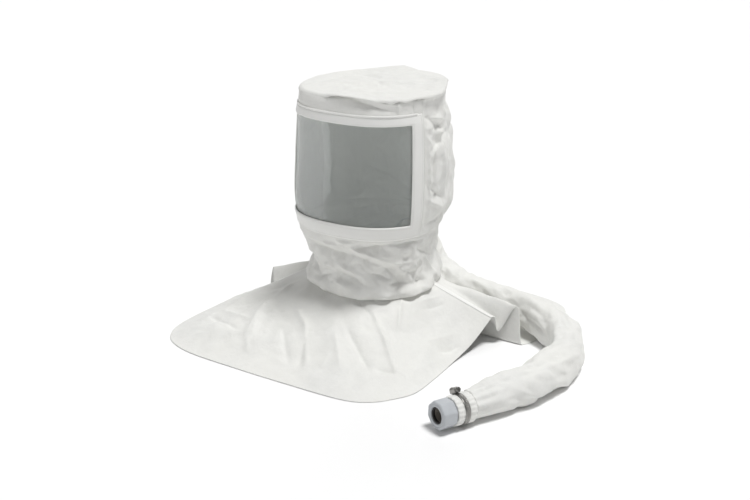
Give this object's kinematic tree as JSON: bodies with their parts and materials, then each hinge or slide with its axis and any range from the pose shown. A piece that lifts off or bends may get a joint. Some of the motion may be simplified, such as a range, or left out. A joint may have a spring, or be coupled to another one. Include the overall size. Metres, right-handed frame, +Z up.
{
  "type": "supplied-air hood",
  "caption": "White cloth hood with a large clear front lens, gathered neck, spread front and rear bibs, and a sleeved breathing hose ending in a clamped connector.",
  "frame": {"origin": "the head's seat: the middle of the crown panel's underside, where the hood rests on a head", "axes": "+Z up along the wearer's axis, -Y straight ahead through the lens, +X to the wearer's left; the surface that the bibs spread on lies at z = -0.4104 m"},
  "size_m": [0.6395, 0.5352, 0.4164],
  "materials": {
    "cloth": "white coated nonwoven cloth, crumpled",
    "tape": "white border tape, smooth",
    "lens": "clear thin plastic sheet with a faint grey-green tint",
    "plastic": "pale blue-grey moulded plastic",
    "rubber": "black gasket rubber",
    "steel": "stainless band steel"
  },
  "bodies": {
    "root": {"crown_panel": "cloth", "brow_panel": "cloth", "brow_piping": "tape", "lens_tape": "tape", "lens": "lens", "side_back_panel": "cloth", "neck_panel": "cloth", "front_bib": "cloth", "rear_bib": "cloth", "shoulder_tape_left": "tape", "shoulder_tape_right": "tape", "hose_inlet": "plastic", "air_hose": "cloth", "sleeve_cuff": "cloth", "hose_connector": "plastic", "connector_gasket": "rubber", "clamp_band": "steel", "clamp_housing": "steel", "clamp_screw": "steel"}
  },
  "joints": []
}
